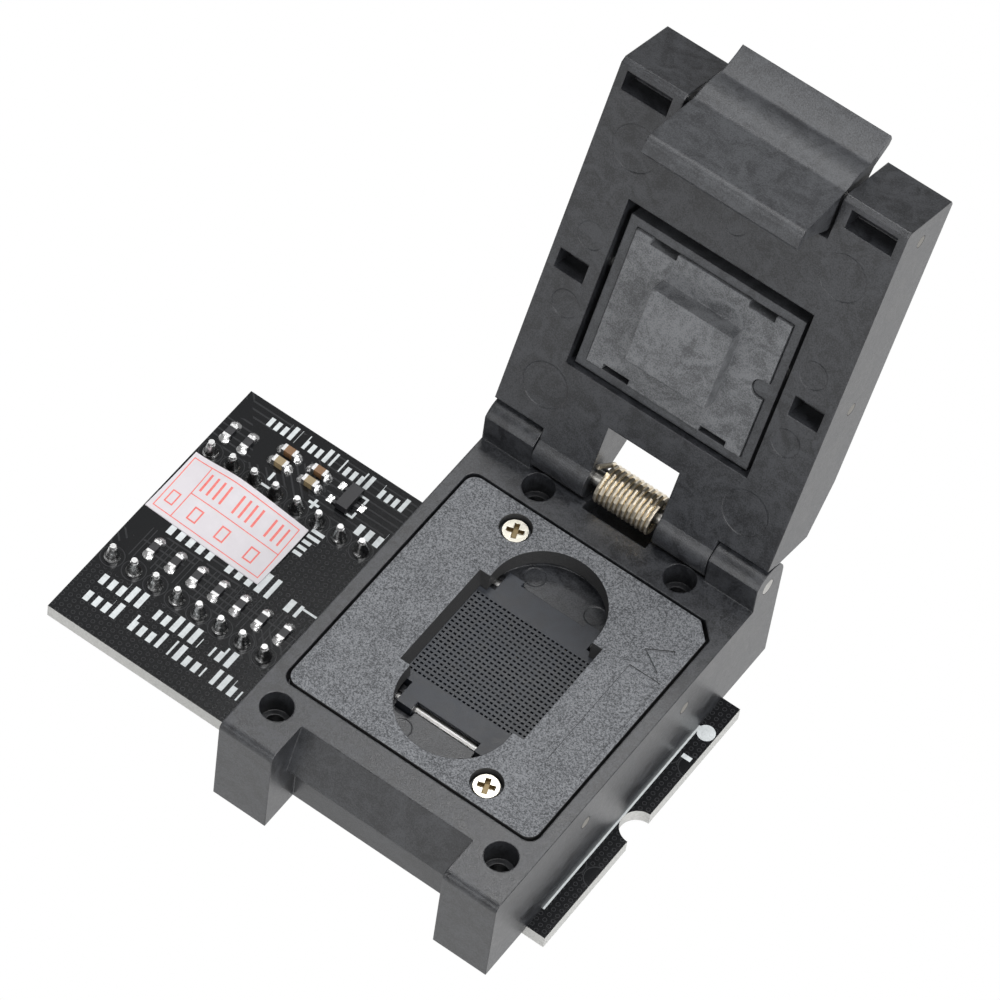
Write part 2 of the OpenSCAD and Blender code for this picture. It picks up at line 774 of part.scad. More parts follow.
// Coil around the hinge pin. At one side a leg slants down under the coil to the floor of
// the base's slot, at the other a short end reaches for the wall of the lid's window.
module torsion_spring() {
    pitch = 2 * wire_r + 0.02;
    start = -40;
    turn = coil_turns * 360 + 60 - start;
    half_l = pitch * turn / 720;
    off_centre = 0.08;
    low = spring_slot_z - hinge_z + 0.3;
    leg = (coil_r * sin(start) - low) / cos(start);
    root = [off_centre + half_l, coil_r * cos(start), coil_r * sin(start)];
    tip = [off_centre - half_l, coil_r * cos(start + turn), coil_r * sin(start + turn)];
    reach = window_x - half_l + off_centre - 1.2 * wire_r;
    steps = 16 * coil_turns;
    path = concat(
        [for (k = [4:-1:1]) root + [0, sin(start), -cos(start)] * leg * k / 4],
        [for (k = [0:steps])
            let (a = start + turn * k / steps)
            [off_centre + half_l * (1 - 2 * k / steps), coil_r * cos(a), coil_r * sin(a)]],
        [for (k = [1, 2]) tip + [-reach, -1.5, 0.85] * k / 2]
    );
    color("#cdbf95") in_socket() translate([0, hinge_y, hinge_z])
        wire(path, wire_r, 8);
}

// Lid

// Side view of the shut lid, its face down and its end at negative Y.
module lid_section() {
    chamfer = 0.45;
    polygon([
        [-lid_heel, -lid_face], [-lid_l + chamfer, -lid_face],
        [-lid_l, -lid_face + chamfer], [-lid_l, lid_top - chamfer],
        [-lid_l + chamfer, lid_top], [-lid_slope_l, lid_top],
        [-lid_heel - 0.4, lid_slope_z], [-lid_heel + 0.15, 0.7],
    ]);
}

// Hinge barrel and the web that joins it to the lid.
module barrel_section() {
    circle(r = barrel_r);
    polygon([
        [-lid_heel - 1, -lid_face], [0, -lid_face], [0, 0],
        [barrel_r * cos(46), barrel_r * sin(46)],
        [-lid_heel - 0.4, lid_slope_z], [-lid_heel - 1, lid_slope_z],
    ]);
}

module ejector_mark(x, y, r) {
    translate([x, y, -lid_face - 1]) cylinder(r = r, h = 1.05);
}

// Blind slot in the lid's inner face.
module face_slot(x0, x1, y0, y1, depth) {
    translate([x0, y0, -lid_face - 1]) cube([x1 - x0, y1 - y0, depth + 1]);
}

module lid_cover() {
    wall_x = 14.6;
    mark_x = 12.25;
    mark_r = 1.45;
    mark_step = 4;
    large_mark_r = 2.4;
    color("#2a2c2f") on_lid() difference() {
        union() {
            along_x(socket_w) lid_section();
            along_x(2 * barrel_x) barrel_section();
        }
        translate([-window_x, -window_l, -2 * lid_top])
            cube([2 * window_x, window_l + 2 * barrel_r, 4 * lid_top]);
        slab_at_lid_end();
        translate([0, -press_y, 0])
            slab(well_x, well_y, -lid_face - 1,
                well_roof + lid_face + 1);
        rod_x(hinge_pin_r + pin_fit, socket_w + 1);
        translate([0, -press_y, press_z]) rod_x(cross_pin_r + pin_fit, socket_w + 1);
        translate([0, -latch_y, latch_z]) rod_x(cross_pin_r + pin_fit, socket_w + 1);
        both_sides() {
            face_slot(well_x + 1.25, wall_x, -press_y - 1.1, -press_y + 1.15, 3);
            face_slot(lug_x + 1.05, wall_x, -latch_y - 1.65, -latch_y + 0.4, 2.6);
            ejector_mark(mark_x - 1, -window_l - 0.2, large_mark_r);
            ejector_mark(mark_x, mark_step - press_y, mark_r);
            ejector_mark(mark_x, -mark_step - press_y, mark_r);
            ejector_mark(mark_x - 1, -latch_slot + large_mark_r + 0.3, large_mark_r);
        }
        ejector_mark(0, mark_step - latch_slot - 0.4, mark_r);
    }
}

// Opening between the end lugs, where the latch sits.
module slab_at_lid_end() {
    translate([-lug_x, -lid_l - 1, -lid_face - 1])
        cube([2 * lug_x, lid_l + 1 - latch_slot, lid_top + lid_face + 2]);
}

// Latch

// Points of an arc that starts at p and turns from one heading to another. A heading of
// zero points down, ninety degrees points at the hinge.
function bend(p, from, to, r, steps) =
    let (s = r * sign(to - from))
    [for (k = [1:steps])
        let (a = from + (to - from) * k / steps)
        p + s * [cos(from) - cos(a), sin(from) - sin(a)]];
function end_of(path) = path[len(path) - 1];

// Side view of the latch: thumb tab with a bead above, hooked lip with a round nose below.
module latch_section() {
    outer = latch_y + 1.3;
    nose = latch_y - 0.9;
    neck = hinge_y + lip_reach + 0.3;
    foot = hook_z - 0.85;
    nose_r = 0.8;
    tab = bend([-outer - 4.1, latch_z + 3.8], 46, 26, 9, 8);
    bead = bend(end_of(tab), 26, -6, 0.9, 8);
    sweep = bend(end_of(bead), -6, 38, 4.6, 14);
    crest = bend(end_of(sweep), 38, 6, 1.2, 8);
    lip = bend([-outer, foot + nose_r], 0, 90, nose_r, 8);
    polygon(concat(
        [[-nose, hook_z], [-nose, foot + 0.35], [-nose - 0.4, foot], [end_of(lip)[0], foot]],
        [for (k = [len(lip) - 2:-1:0]) lip[k]],
        [[-outer, foot + nose_r]],
        [for (k = [len(crest) - 1:-1:0]) crest[k]],
        [for (k = [len(sweep) - 1:-1:0]) sweep[k]],
        [for (k = [len(bead) - 1:-1:0]) bead[k]],
        [for (k = [len(tab) - 1:-1:0]) tab[k]],
        [
            [-outer - 4.1, latch_z + 3.8], [-outer - 3.5, latch_z + 4.35],
            [-outer - 2.9, latch_z + 4.25], [-outer - 1.3, latch_z + 2.4],
            [-outer + 0.3, latch_z + 2], [-latch_y, latch_z + 2],
            [-latch_y + 1.5, latch_z + 1.4], [-latch_y + 2, latch_z],
            [-latch_y + 1.9, latch_z - 1.6], [-neck + 1.72, -lid_face - 0.1],
            [-neck, hook_z],
        ]
    ));
}

module latch() {
    spring_room = 2.6;
    half_depth = 8;
    color("#303235") on_lid() difference() {
        intersection() {
            along_x(2 * latch_hook_x) latch_section();
            translate([0, half_depth - lid_l, 0]) rotate([90, 0, 0])
                linear_extrude(2 * half_depth)
                polygon([
                    [-latch_hook_x, hook_z - 2], [latch_hook_x, hook_z - 2],
                    [latch_tab_x, lid_top + 1], [-latch_tab_x, lid_top + 1],
                ]);
        }
        translate([0, -latch_y, latch_z]) {
            rod_x(cross_pin_r + pin_fit, socket_w);
            translate([-spring_room, -1.7, -1.7]) cube([2 * spring_room, 4.3, 6]);
        }
    }
}

module latch_pin() {
    color("#dcdcd8") on_lid() translate([0, -latch_y, latch_z])
        rod_x(cross_pin_r, socket_w);
}

// Small torsion spring on the latch pin. One leg lies towards the lid, one in the latch.
module latch_spring() {
    r = 1;
    wire = 0.16;
    pitch = 2 * wire + 0.08;
    last = 4.5 * 360;
    x0 = -pitch * last / 720;
    path = concat(
        [for (k = [0:2]) [x0, r, 2 * (1 - k / 3)]],
        [for (a = [0:20:last]) [x0 + pitch * a / 360, r * cos(a), -r * sin(a)]],
        [for (k = [1:3]) [-x0, -r, 0.4 * k]]
    );
    color("#c9ccd0") on_lid() translate([0, -latch_y, latch_z]) wire(path, wire, 6);
}

// Pressure plate

module pressure_frame() {
    tab_x = 8;
    tab_r = 0.88;
    color("#313336") on_lid() translate([0, -plate_mid, 0]) difference() {
        slab(frame_x, frame_y, frame_sink - lid_face, frame_top + lid_face - frame_sink);
        difference() {
            slab(pad_x + slide_gap, pad_y + slide_gap, -lid_face - 1,
                pad_back + lid_face + 1);
            translate([tab_x, 0, -lid_face]) cylinder(r = tab_r, h = lid_top);
            translate([tab_x, -tab_r, -lid_face]) cube([2, 2 * tab_r, lid_top]);
        }
        translate([0, -plate_drop, press_z]) rod_x(cross_pin_r + pin_fit, socket_w);
    }
}

// Pad with the pusher that presses the package down.
module pressure_pad() {
    tab_x = 8;
    tab_room = 0.98;
    clip_w = 2.9;
    clip_depth = 0.65;
    color("#3b3d40") on_lid() translate([0, -plate_mid, 0]) difference() {
        union() {
            slab(pad_x, pad_y, pad_face, pad_back - pad_face);
            translate([0, -pusher_shift, 0])
                slab(pusher_x, pusher_y, pusher_z, pad_face - pusher_z + eps);
        }
        translate([tab_x, 0, -lid_face - 1]) cylinder(r = tab_room, h = lid_top);
        translate([tab_x, -tab_room, -lid_face - 1]) cube([2, 2 * tab_room, lid_top]);
        for (sx = [-1, 1], sy = [-1, 1])
            translate([sx * 5.4, sy * (pad_y - clip_depth / 2), 0])
                cube([clip_w, clip_depth + eps, 2 * lid_top], center = true);
    }
}

module pressure_pin() {
    color("#dcdcd8") on_lid() translate([0, -press_y, press_z])
        rod_x(cross_pin_r, socket_w);
}

circuit_board();
header_strip(-1);  // header_strip_front
header_strip(1);  // header_strip_back
header_pins(-1);  // header_pins_front
header_pins(1);  // header_pins_back
solder_joints(-1);  // solder_joints_front
solder_joints(1);  // solder_joints_back
for (i = [0:8])
    resistor(i);
for (i = [0:3])
    capacitor(i);
transistor();
chip_solder_fillets();
seal_label();
base_housing();
contact_carrier();
socket_contacts();
contact_block();
lift_springs();
contact_rod(-1);  // contact_rod_front
contact_rod(1);  // contact_rod_back
guide_plate();
guide_screw(1);  // guide_screw_front
guide_screw(-1);  // guide_screw_back
hinge_pin();
torsion_spring();
lid_cover();
latch();
latch_pin();
latch_spring();
pressure_frame();
pressure_pad();
pressure_pin();
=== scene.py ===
"""Looks of the plug-in memory adapter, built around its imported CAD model. Metres, Z up."""

import json
import math

import bmesh
import bpy
from mathutils import Matrix, Vector


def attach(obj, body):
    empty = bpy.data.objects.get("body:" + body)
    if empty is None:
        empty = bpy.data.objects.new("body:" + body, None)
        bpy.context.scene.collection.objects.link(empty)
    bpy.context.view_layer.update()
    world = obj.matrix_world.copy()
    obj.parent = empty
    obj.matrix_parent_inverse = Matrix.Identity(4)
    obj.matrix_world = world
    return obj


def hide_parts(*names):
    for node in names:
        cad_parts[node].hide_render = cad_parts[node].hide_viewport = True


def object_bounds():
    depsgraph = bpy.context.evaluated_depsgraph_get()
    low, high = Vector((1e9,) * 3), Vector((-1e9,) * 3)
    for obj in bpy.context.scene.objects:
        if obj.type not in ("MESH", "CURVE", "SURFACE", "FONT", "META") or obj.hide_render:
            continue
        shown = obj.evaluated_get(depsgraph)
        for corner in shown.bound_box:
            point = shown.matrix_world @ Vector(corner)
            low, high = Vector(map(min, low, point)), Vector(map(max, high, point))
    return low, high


MM = 0.001

# The photograph's camera: where it stands, what it looks at, its roll and its lens.
CAMERA_AT = Vector((174.5, -272.1, 490.6)) * MM
CAMERA_AIM = Vector((18.97, 14.69, 14.0)) * MM
CAMERA_ROLL = math.radians(8.844)
CAMERA_LENS = 223.35
SENSOR = 36.0

# Heights in millimetres: the board's top face, and where the screws' recesses begin
BOARD_TOP = 4.1
SCREW_FACE = 15.2

# The socket's middle along X and, a little inside its side walls, its half width
SOCKET_X = 29.55
SOCKET_SIDE = 15.3

# Half the length of a chip's body between its tinned ends, in millimetres
CHIP_BODY_HALF = 0.46

# The header: from pin to pin, and from the board's middle line to a row
PIN_PITCH = 2.54
PIN_ROW_Y = 7.62

FLOOR_SIZE = 4.0
FLOOR_GAP = 0.2 * MM

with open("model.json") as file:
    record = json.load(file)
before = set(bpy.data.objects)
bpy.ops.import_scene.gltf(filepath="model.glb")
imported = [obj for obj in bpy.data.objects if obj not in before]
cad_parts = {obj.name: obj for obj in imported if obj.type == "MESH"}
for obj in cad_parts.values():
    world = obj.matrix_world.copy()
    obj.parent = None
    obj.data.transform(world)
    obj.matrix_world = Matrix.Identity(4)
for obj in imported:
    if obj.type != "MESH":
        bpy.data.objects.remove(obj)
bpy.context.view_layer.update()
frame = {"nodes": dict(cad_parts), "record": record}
nodes = frame["nodes"]


# Shader arithmetic


class Value:
    """A shader socket that takes part in sums."""

    def __init__(self, finish, socket):
        self.finish = finish
        self.socket = socket

    def sum(self, operation, *values):
        inputs = dict(enumerate(values))
        return self.finish.node("ShaderNodeMath", {"operation": operation}, inputs)

    def __add__(self, other):
        return self.sum("ADD", self, other)

    __radd__ = __add__

    def __sub__(self, other):
        return self.sum("SUBTRACT", self, other)

    def __rsub__(self, other):
        return self.sum("SUBTRACT", other, self)

    def __mul__(self, other):
        return self.sum("MULTIPLY", self, other)

    __rmul__ = __mul__

    def __truediv__(self, other):
        return self.sum("DIVIDE", self, other)

    def __lt__(self, other):
        return self.sum("LESS_THAN", self, other)

    def __gt__(self, other):
        return self.sum("GREATER_THAN", self, other)

    def __abs__(self):
        return self.sum("ABSOLUTE", self)

    def __or__(self, other):
        return self.sum("MAXIMUM", self, other)

    def __and__(self, other):
        return self.sum("MULTIPLY", self, other)

    def fraction(self):
        return self.sum("FRACT", self)

    def whole(self):
        return self.sum("FLOOR", self)

    def root(self):
        return self.sum("SQRT", self)

    def between(self, low, high):
        return (self > low) & (self < high)


class Finish:
    """A node material under construction, with its place on the object in millimetres."""

    def __init__(self, name):
        self.material = bpy.data.materials.new(name)
        self.material.use_nodes = True
        self.tree = self.material.node_tree
        self.tree.nodes.clear()
        self.coordinates = self.node("ShaderNodeTexCoord", output="Object")
        self.place = self.node(
            "ShaderNodeVectorMath",
            {"operation": "SCALE"},
            {0: self.coordinates, "Scale": 1 / MM},
        )
        self.x, self.y, self.z = self.split(self.place)

    def node(self, kind, settings=None, inputs=None, output=0):
        """Adds a node: its settings first, then the values or links of its sockets."""
        made = self.tree.nodes.new(kind)
        for key, value in (settings or {}).items():
            if key == "stops":
                ramp = made.color_ramp
                while len(ramp.elements) < len(value):
                    ramp.elements.new(1.0)
                for element, (position, colour) in zip(ramp.elements, value):
                    element.position = position
                    element.color = colour
            else:
                setattr(made, key, value)
        for key, value in (inputs or {}).items():
            if isinstance(value, Value):
                self.tree.links.new(value.socket, made.inputs[key])
            else:
                made.inputs[key].default_value = value
        return Value(self, made.outputs[output])

    def split(self, vector):
        made = self.tree.nodes.new("ShaderNodeSeparateXYZ")
        self.tree.links.new(vector.socket, made.inputs[0])
        return [Value(self, socket) for socket in made.outputs]

    def noise(self, size, detail=3.0, roughness=0.55):
        """Soft noise from 0 to 1 with features about size millimetres across."""
        inputs = {
            "Vector": self.place,
            "Scale": 1 / size,
            "Detail": detail,
            "Roughness": roughness,
        }
        return self.node("ShaderNodeTexNoise", None, inputs)

    def mix(self, factor, first, second):
        """A colour between two others."""
        settings = {"data_type": "RGBA", "clamp_factor": True}
        inputs = {"Factor": factor, 6: first, 7: second}
        return self.node("ShaderNodeMix", settings, inputs, output=2)

    def smooth(self, value, low, high):
        """0 below low, 1 above high and a soft step between them."""
        settings = {"interpolation_type": "SMOOTHSTEP", "clamp": True}
        inputs = {"Value": value, "From Min": low, "From Max": high}
        return self.node("ShaderNodeMapRange", settings, inputs)

    def bump(self, height, depth, edge=0.0):
        """A normal that follows a height from 0 to 1, depth millimetres high."""
        inputs = {"Height": height, "Distance": depth * MM, "Strength": 1.0}
        if edge:
            inputs["Normal"] = self.node(
                "ShaderNodeBevel", {"samples": 6}, {"Radius": edge * MM}
            )
        return self.node("ShaderNodeBump", None, inputs)

    def surface(self, **inputs):
        """Ends the material in a Principled shader."""
        shader = self.node("ShaderNodeBsdfPrincipled", None, inputs)
        output = self.tree.nodes.new("ShaderNodeOutputMaterial")
        self.tree.links.new(shader.socket, output.inputs["Surface"])
        return self.material


def grey(value):
    return (value, value, value, 1)


# Finishes


def moulded_plastic(name, dark, light, roughness=0.37, grain=0.14, edge=0.18):
    """Glass-filled housing plastic: fine grain, swirled flow marks, soft edges."""
    f = Finish(name)
    flow = f.node(
        "ShaderNodeTexNoise",
        None,
        {"Vector": f.place, "Scale": 0.35, "Detail": 5.0, "Roughness": 0.6, "Distortion": 1.6},
    )
    speck = f.noise(grain, 2.0, 0.7)
    fibre = f.noise(0.45, 3.0, 0.6)
    marks = f.smooth(flow * 0.45 + speck * 0.55, 0.38, 0.62)
    colour = f.mix(marks, dark, light)
    rough = roughness + (flow - 0.5) * 0.2 + (fibre - 0.5) * 0.12
    normal = f.bump(speck * 0.7 + fibre * 0.3, 0.02, edge)
    inputs = {"Base Color": colour, "Roughness": rough, "Normal": normal, "IOR": 1.6}
    return f.surface(**inputs)


def sanded_plastic(name, dark, light):
    """The guide plate's coarse, sand-like face, with painted shade on its opening's walls."""
    f = Finish(name)
    speck = f.noise(0.16, 3.0, 0.8)
    clouds = f.noise(3.0, 4.0)
    colour = f.mix(f.smooth(speck * 0.9 + clouds * 0.1, 0.36, 0.64), dark, light)
    facing = f.split(f.node("ShaderNodeTexCoord", output="Normal"))[2]
    # Painted shade: faces that don't look upward take a much darker speckled colour.
    painted_wall_shade = f.mix(speck, (0.008, 0.008, 0.009, 1), (0.05, 0.05, 0.05, 1))
    colour = f.mix(facing > 0.5, painted_wall_shade, colour)
    rough = 0.52 + (speck - 0.5) * 0.3
    normal = f.bump(speck, 0.045, 0.12)
    return f.surface(**{"Base Color": colour, "Roughness": rough, "Normal": normal})


def bright_metal(name, colour, tint, roughness=0.22):
    """Drawn or plated metal with fine drawing lines and faint stains."""
    f = Finish(name)
    stain = f.noise(0.8, 3.0)
    lines = f.noise(0.12, 2.0, 0.6)
    base = f.mix(stain, colour, tint)
    rough = roughness + (stain - 0.5) * 0.15 + (lines - 0.5) * 0.08
    normal = f.bump(lines, 0.004, 0.05)
    inputs = {"Base Color": base, "Roughness": rough, "Metallic": 1.0, "Normal": normal}
    return f.surface(**inputs)


def screw_metal():
    """Plated screw heads whose cross recess, below the head's face, is painted shade in a dull
    bronze.
    """
    f = Finish("screw")
    stain = f.noise(0.6, 3.0)
    plated = f.mix(stain, (0.66, 0.64, 0.57, 1), (0.5, 0.47, 0.4, 1))
    recess_shade = f.mix(stain, (0.2, 0.15, 0.08, 1), (0.34, 0.27, 0.16, 1))
    # Painted shade: everything below the head's face, the cross recess with it, turns dull bronze.
    deep = f.z < SCREW_FACE
    base = f.mix(deep, plated, recess_shade)
    rough = 0.24 + stain * 0.1 + deep * 0.2
    normal = f.bump(stain, 0.01, 0.06)
    inputs = {"Base Color": base, "Roughness": rough, "Metallic": 1.0, "Normal": normal}
    return f.surface(**inputs)


def smooth_metal(name, colour, roughness):
    """Drawn wire or rod with a clean bright face."""
    f = Finish(name)
    stain = f.noise(1.5, 2.0)
    # The rod's ends beyond the socket's sides are darker and rougher.
    outer_ends = abs(f.x - SOCKET_X) > SOCKET_SIDE
    base = f.mix(stain, colour, tuple(value * 0.82 for value in colour[:3]) + (1,))
    base = f.mix(outer_ends, base, (0.3, 0.29, 0.27, 1))
    rough = roughness + stain * 0.04 + outer_ends * 0.3
    return f.surface(**{"Base Color": base, "Roughness": rough, "Metallic": 1.0})


def header_pin_metal():
    """Gold-plated below the board, tinned where the pin stands in its solder joint."""
    f = Finish("header_pin")
    stain = f.noise(0.4, 3.0)
    gold = f.mix(stain, (0.83, 0.62, 0.28, 1), (0.7, 0.5, 0.22, 1))
    tin = f.mix(stain, grey(0.82), grey(0.55))
    base = f.mix(f.z > BOARD_TOP, gold, tin)
    rough = 0.24 + stain * 0.12
    return f.surface(**{"Base Color": base, "Roughness": rough, "Metallic": 1.0})


def solder(name, bright, dull, low, high):
    """Bright solder with duller, slightly dirty patches on its flanks."""
    f = Finish(name)
    stain = f.noise(0.35, 4.0, 0.6)
    base = f.mix(f.smooth(stain, low, high), bright, dull)
    rough = 0.14 + stain * 0.24
    normal = f.bump(stain, 0.05)
    inputs = {"Base Color": base, "Roughness": rough, "Metallic": 1.0, "Normal": normal}
    return f.surface(**inputs)


def box_mask(f, x0, x1, y0, y1):
    """1 inside a box on the board's plan, 0 outside."""
    return f.x.between(x0, x1) & f.y.between(y0, y1)


def stroke_row(f, along, across, start, end, low, high, pitch, gap):
    """A printed row of plain upright strokes in uneven groups, where the board has words."""
    step = (along - start) / pitch
    stroke = step.fraction().between(0.16, 0.72)
    group = (step * gap).fraction() < 0.8
    short = ((step * 0.37).whole() * 0.5).fraction() < 0.25
    middle = (low + high) / 2
    tall = across.between(low, high) & (1 - short)
    small = across.between(low, middle + 0.25) & short
    return along.between(start, end) & stroke & group & (tall | small)


def white_print(f):
    """Silk-screen print: rows of strokes, polarity signs, corner marks, a rule and a dot."""
    rows = (
        stroke_row(f, f.x, f.y, -6.9, 10.1, 13.5, 15.2, 0.82, 0.19)
        | stroke_row(f, f.x, f.y, 6.9, 10.1, 8.8, 10.9, 1.1, 0.1)
        | stroke_row(f, f.x, f.y, -6.9, 8.6, -2.3, 0.2, 1.15, 0.17)
        | stroke_row(f, f.x, f.y, -8.4, 7.1, -10.75, -8.85, 1.05, 0.16)
        | stroke_row(f, f.x, f.y, -8.4, 9.8, -13.1, -11.2, 1.05, 0.21)
        | stroke_row(f, f.y, f.x, 3.3, 6.9, 3.9, 5.3, 0.75, 0.1)
    )
    plus = box_mask(f, 1.65, 2.85, 8.95, 9.25) | box_mask(f, 2.1, 2.4, 8.5, 9.7)
    minus = box_mask(f, -2.9, -2.6, 8.55, 9.6) | box_mask(f, -3.4, -2.1, 7.7, 7.98)
    corner = box_mask(f, 5.2, 6.1, 12.55, 12.8) | box_mask(f, 5.85, 6.1, 12.0, 12.8)
    corner = corner | box_mask(f, 5.2, 6.1, 10.0, 10.25) | box_mask(f, 5.85, 6.1, 10.0, 10.8)
    rule = box_mask(f, 8.6, 14.5, -1.2, -0.95) | box_mask(f, 44.95, 45.2, -13.3, 11.9)
    bar = box_mask(f, 45.6, 46.6, 8.0, 8.5)
    dot_x = f.x - 46.0
    dot_y = f.y - 11.6
    dot = (dot_x * dot_x + dot_y * dot_y) < 0.8
    return rows | plus | minus | corner | rule | bar | dot


def copper_relief(f):
    """Tracks under the mask, rings around the pins and a dotted pour at the edges."""
    fields = f.node(
        "ShaderNodeTexVoronoi", {"feature": "F1"}, {"Vector": f.place, "Scale": 0.2}, "Color"
    )
    choice = f.split(fields)[0]
    straight = (f.y * 1.3).fraction().between(0.36, 0.62)
    slanted = ((f.x + f.y) * 0.95).fraction().between(0.36, 0.62)
    tracks = straight * (choice < 0.4) | slanted * (choice > 0.72)
    pin_u = ((f.x / PIN_PITCH).fraction() - 0.5) * PIN_PITCH
    pin_v = abs(f.y) - PIN_ROW_Y
    far = (pin_u * pin_u + pin_v * pin_v).root()
    ring = far.between(1.12, 1.24)
    cell = abs(pin_u).between(0.98, 1.1) & f.y.between(-6.5, -2.6) & f.x.between(-8, 10)
    dots_u = (f.x * 1.45).fraction() - 0.5
    dots_v = (f.y * 1.45 + (f.x * 1.45).whole() * 0.5).fraction() - 0.5
    dots = (dots_u * dots_u + dots_v * dots_v).between(0.045, 0.11)
    pour = (f.y < -9.0) | (f.x > 44.6) | box_mask(f, 2.5, 14.0, -4.0, 8.0)
    clear = far > 1.12
    return (tracks * (1 - pour) * (far > 1.3) | dots * pour | ring | cell) & clear


def board_finish():
    """Black solder mask over copper tracks, white print and a pale cut edge."""
    f = Finish("board")
    facing = f.split(f.node("ShaderNodeTexCoord", output="Normal"))[2]
    rim = abs(facing) < 0.5
    relief = f.smooth(copper_relief(f), 0.0, 1.0)
    fleck = f.noise(0.12, 2.0)
    wear = f.noise(0.5, 3.0)
    mask = f.mix(relief, (0.008, 0.0085, 0.0095, 1), (0.03, 0.031, 0.033, 1))
    printed = white_print(f) & (facing > 0.5)
    ink = f.mix(wear, (0.5, 0.53, 0.54, 1), (0.8, 0.84, 0.85, 1))
    core = f.mix(f.noise(0.25, 3.0), (0.3, 0.3, 0.29, 1), (0.6, 0.6, 0.58, 1))
    colour = f.mix(rim, f.mix(printed, mask, ink), core)
    rough = 0.13 + rim * 0.45 + printed * 0.35 + (fleck - 0.5) * 0.04
    normal = f.bump(relief + printed * 0.8 + fleck * 0.06, 0.02, 0.06)
    return f.surface(**{"Base Color": colour, "Roughness": rough, "Normal": normal})


def chip_finish(name, dark, light, middles=None):
    """Fired chip body with a slight sheen and, along one axis, tinned ends.

    middles holds the axis letter, where the chips change over, and the two middles.
    """
    f = Finish(name)
    speck = f.noise(0.1, 2.0)
    colour = f.mix(speck, dark, light)
    metal = 0.0
    if middles:
        axis, limit, low, high = middles
        along = f.x if axis == "x" else f.y
        near_low = abs(along - low) > CHIP_BODY_HALF
        near_high = abs(along - high) > CHIP_BODY_HALF
        metal = f.mix(along > limit, near_low, near_high)
        colour = f.mix(metal, colour, f.mix(speck, grey(0.5), grey(0.8)))
    normal = f.bump(speck, 0.01, 0.06)
    inputs = {"Base Color": colour, "Metallic": metal, "Normal": normal}
    return f.surface(**inputs, Roughness=0.32 + speck * 0.12)


def label_finish():
    """Brittle white seal paper with a plain red ruled form on it."""
    f = Finish("seal_paper")
    u = f.x + 10.0
    v = f.y + 1.1 + u * 0.036
    line = 0.11

    def outline(middle_u, middle_v, half_u, half_v, width):
        far_u = abs(u - middle_u)
        far_v = abs(v - middle_v)
        inside = (far_u < half_u) & (far_v < half_v)
        return inside & ((far_u > half_u - width) | (far_v > half_v - width))

    form = outline(6.85, 3.8, 6.4, 3.3, line) | outline(7.9, 3.8, 5.35, 3.3, line)
    rule = u.between(2.55, 13.2) & abs(v - 3.75).between(-1.0, line / 2)
    step = (u - 2.9) / 0.78
    strokes = step.fraction().between(0.15, 0.47) & u.between(2.9, 12.6)
    caps = strokes & v.between(4.4, 6.5) & ((step * 0.21).fraction() < 0.84)
    fields = (
        outline(4.4, 2.1, 0.55, 0.8, 0.17)
        | outline(7.7, 2.1, 0.55, 0.8, 0.17)
        | outline(11.2, 2.1, 0.55, 0.8, 0.17)
        | outline(1.5, 2.3, 0.5, 0.8, 0.15)
    )
    red = f.mix(f.noise(0.3), (0.72, 0.1, 0.09, 1), (0.86, 0.26, 0.22, 1))
    paper = f.mix(f.noise(1.2, 4.0), (0.6, 0.57, 0.6, 1), (0.7, 0.67, 0.7, 1))
    colour = f.mix(form | rule | caps | fields, paper, red)
    crease = f.noise(0.6, 3.0)
    normal = f.bump(crease, 0.03)
    return f.surface(**{"Base Color": colour, "Roughness": 0.5 + crease * 0.1, "Normal": normal})


def floor_finish():
    """Pale floor that the camera and bright metal see as white."""
    f = Finish("floor")
    seen = f.node("ShaderNodeLightPath", output="Is Camera Ray")
    mirrored = f.node("ShaderNodeLightPath", output="Is Glossy Ray")
    diffuse = f.node("ShaderNodeBsdfDiffuse", None, {"Color": grey(0.82)})
    glow = f.node("ShaderNodeEmission", None, {"Color": grey(1.0), "Strength": 1.0})
    output = f.tree.nodes.new("ShaderNodeOutputMaterial")
    mixed = f.node("ShaderNodeMixShader", None, {0: seen | mirrored, 1: diffuse, 2: glow})
    f.tree.links.new(mixed.socket, output.inputs["Surface"])
    return f.material


HOUSING = moulded_plastic("housing", (0.006, 0.0065, 0.008, 1), (0.036, 0.038, 0.043, 1), 0.34)
LATCH = moulded_plastic("latch_plastic", (0.022, 0.023, 0.026, 1), (0.06, 0.063, 0.069, 1), 0.46)
BLOCK = moulded_plastic("block", (0.006, 0.0075, 0.011, 1), (0.016, 0.02, 0.028, 1), 0.42, 0.1, 0.06)
PAD = moulded_plastic("pad", (0.05, 0.052, 0.056, 1), (0.15, 0.155, 0.163, 1), 0.44)
GUIDE = sanded_plastic("guide", (0.025, 0.027, 0.031, 1), (0.21, 0.218, 0.232, 1))
STRIP = moulded_plastic("strip", (0.008, 0.008, 0.009, 1), (0.02, 0.02, 0.021, 1))
STEEL = bright_metal("steel", (0.72, 0.72, 0.71, 1), (0.6, 0.6, 0.6, 1))
PIN_STEEL = bright_metal("pin_steel", (0.5, 0.49, 0.46, 1), (0.36, 0.35, 0.33, 1), 0.3)
ROD = smooth_metal("rod_steel", (0.93, 0.92, 0.9, 1), 0.34)
COIL = smooth_metal("coil", (0.93, 0.84, 0.68, 1), 0.27)
SCREW = screw_metal()
GOLD = header_pin_metal()
JOINT = solder("joint_solder", grey(0.7), (0.2, 0.2, 0.2, 1), 0.3, 0.62)
CHIP_SOLDER = solder("chip_solder", grey(0.9), (0.6, 0.6, 0.6, 1), 0.45, 0.75)
BOARD = board_finish()
CHIP_DARK = (0.01, 0.01, 0.012, 1)
CHIP_LIGHT = (0.03, 0.03, 0.034, 1)
